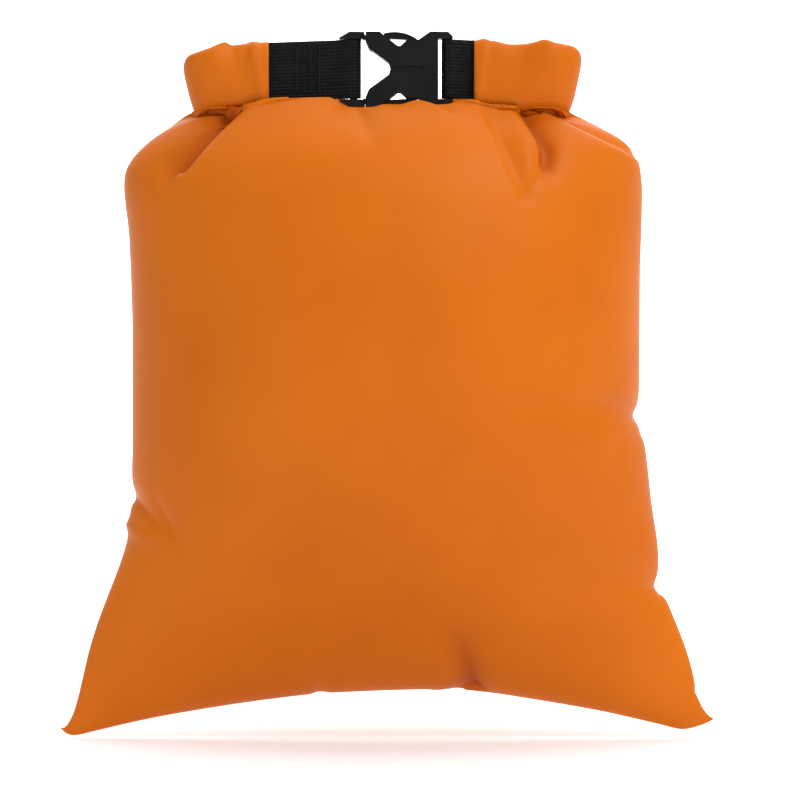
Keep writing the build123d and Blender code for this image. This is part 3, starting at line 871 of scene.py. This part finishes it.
thread_finish, nodes, links, shader = new_material("black_thread")
place = nodes.new("ShaderNodeTexCoord")
twist = wave_node(nodes, links, 500, "DIAGONAL", place.outputs["Object"])
twist_bump = bump_node(nodes, links, twist.outputs["Fac"], 0.6, 0.0002)
links.new(twist_bump.outputs["Normal"], shader.inputs["Normal"])
thread_tone = ramp_node(nodes, links, twist.outputs["Fac"],
                        ((0.2, (0.003, 0.003, 0.003, 1)), (0.9, (0.008, 0.008, 0.009, 1))))
links.new(thread_tone.outputs["Color"], shader.inputs["Base Color"])
shader.inputs["Roughness"].default_value = 0.6
shader.inputs["Specular IOR Level"].default_value = 0.12

# %% [markdown]
# ## Moulded plastic, tape and the stiffening strip
# The buckle is moulded acetal: black, smooth but not polished, with a faint grain. The tape and the strip are
# inside the bag and don't show, but they are still given what they are made of.

# %% Make the plastics
plastic_finish, nodes, links, shader = new_material("moulded_black")
place = nodes.new("ShaderNodeTexCoord")
grain = noise_node(nodes, links, 1600, 3, place.outputs["Object"])
grain_bump = bump_node(nodes, links, grain.outputs["Fac"], 0.25, 0.0001)
links.new(grain_bump.outputs["Normal"], shader.inputs["Normal"])
flow = noise_node(nodes, links, 90, 2, place.outputs["Object"])
flow_range = nodes.new("ShaderNodeMapRange")
flow_range.inputs["To Min"].default_value = 0.30
flow_range.inputs["To Max"].default_value = 0.42
links.new(flow.outputs["Fac"], flow_range.inputs["Value"])
links.new(flow_range.outputs["Result"], shader.inputs["Roughness"])
flow_tone = ramp_node(nodes, links, flow.outputs["Fac"],
                      ((0.3, (0.002, 0.002, 0.0025, 1)), (0.8, (0.005, 0.005, 0.006, 1))))
links.new(flow_tone.outputs["Color"], shader.inputs["Base Color"])
shader.inputs["Specular IOR Level"].default_value = 0.22

tape_finish, nodes, links, shader = new_material("clear_tape")
place = nodes.new("ShaderNodeTexCoord")
tape_noise = noise_node(nodes, links, 120, 3, place.outputs["Object"])
tape_tone = ramp_node(nodes, links, tape_noise.outputs["Fac"],
                      ((0.3, (0.55, 0.50, 0.44, 1)), (0.7, (0.66, 0.61, 0.55, 1))))
links.new(tape_tone.outputs["Color"], shader.inputs["Base Color"])
shader.inputs["Roughness"].default_value = 0.35

strip_finish, nodes, links, shader = new_material("stiff_strip")
place = nodes.new("ShaderNodeTexCoord")
strip_noise = noise_node(nodes, links, 300, 3, place.outputs["Object"])
strip_tone = ramp_node(nodes, links, strip_noise.outputs["Fac"],
                       ((0.3, (0.02, 0.02, 0.02, 1)), (0.7, (0.05, 0.05, 0.05, 1))))
links.new(strip_tone.outputs["Color"], shader.inputs["Base Color"])
shader.inputs["Roughness"].default_value = 0.5

hem_strip.data.materials.append(strip_finish)
finishes = {
    "buckle_socket": plastic_finish, "buckle_plug": plastic_finish,
    "upper_prong": plastic_finish, "lower_prong": plastic_finish,
    "left_strap_stitching": thread_finish, "right_strap_stitching": thread_finish,
    "left_seam_tape": tape_finish, "right_seam_tape": tape_finish, "bottom_seam_tape": tape_finish,
}
for node_name, finish in finishes.items():
    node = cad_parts[node_name]
    for slot in node.material_slots:
        slot.material = finish
    print(node_name, "is", finish.name)

# %% [markdown]
# ## What moves with what
# The pouch stays with the bag. The left strap goes with the plug. The roll is one piece of cloth that crosses
# from the bag to the plug's side, so it is blended between the two along its left side.

# %% Tie the pieces to the bodies
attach(front_cloth, "bag")
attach(back_cloth, "bag")
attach(right_webbing, "bag")
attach(hem_strip, "bag")
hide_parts("mouth_stiffener")
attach(left_webbing, "plug_side")
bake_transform(rolled_mouth, "bag", "plug_side", start=(0.012, 0.020, closure_z), end=(-0.050, -0.012, closure_z))
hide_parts("front_panel")
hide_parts("back_panel")
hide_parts("back_roll", "left_roll_end", "right_roll_end")
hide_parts("left_strap")
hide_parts("right_strap")

# %% [markdown]
# ## Studio
# A pale floor that curves up far behind the bag, even light from all round, and one large soft light from the
# upper right that models the folds.

# %% Build the studio
floor_maker = bmesh.new()
bmesh.ops.create_grid(floor_maker, x_segments=8, y_segments=40, size=4.0)
for corner in floor_maker.verts:
    behind = max(0.0, corner.co.y - 1.5)
    corner.co.z = min(3.0, behind * behind * 0.9)
for face in floor_maker.faces:
    face.smooth = True
studio_floor = made("studio_floor", floor_maker)
floor_finish, nodes, links, shader = new_material("pale_floor")
place = nodes.new("ShaderNodeTexCoord")
floor_noise = noise_node(nodes, links, 3, 2, place.outputs["Object"])
floor_tone = ramp_node(nodes, links, floor_noise.outputs["Fac"],
                       ((0.3, (0.90, 0.90, 0.90, 1)), (0.7, (0.93, 0.93, 0.93, 1))))
links.new(floor_tone.outputs["Color"], shader.inputs["Base Color"])
shader.inputs["Roughness"].default_value = 0.9
shader.inputs["Specular IOR Level"].default_value = 0.1
studio_floor.data.materials.append(floor_finish)


def soft_light(name, place, size, power):
    """A square light that faces the middle of the bag."""
    data = bpy.data.lights.new(name, "AREA")
    data.size = size
    data.energy = power
    light = bpy.data.objects.new(name, data)
    light.location = place
    light.rotation_euler = (Vector((0, 0, 0.15)) - Vector(place)).to_track_quat("-Z", "Y").to_euler()
    bpy.context.scene.collection.objects.link(light)
    return light


soft_light("key_light", (1.0, -1.3, 1.6), 1.2, 30)
soft_light("fill_light", (-1.6, -1.6, 0.8), 1.6, 3)
backdrop_light = soft_light("backdrop_light", (0.0, 0.9, 1.4), 1.6, 60)
to_backdrop = Vector((0, 3.2, 0.4)) - backdrop_light.location
backdrop_light.rotation_euler = to_backdrop.to_track_quat("-Z", "Y").to_euler()
floor_light = soft_light("floor_light", (0.0, 0.9, 1.3), 2.0, 30)
floor_light.rotation_euler = (0, 0, 0)
world = bpy.data.worlds.new("studio")
world.use_nodes = True
world.node_tree.nodes["Background"].inputs["Color"].default_value = (1, 1, 1, 1)
world.node_tree.nodes["Background"].inputs["Strength"].default_value = 0.5
bpy.context.scene.world = world
bpy.context.scene.view_settings.view_transform = "Standard"
print("studio ready")
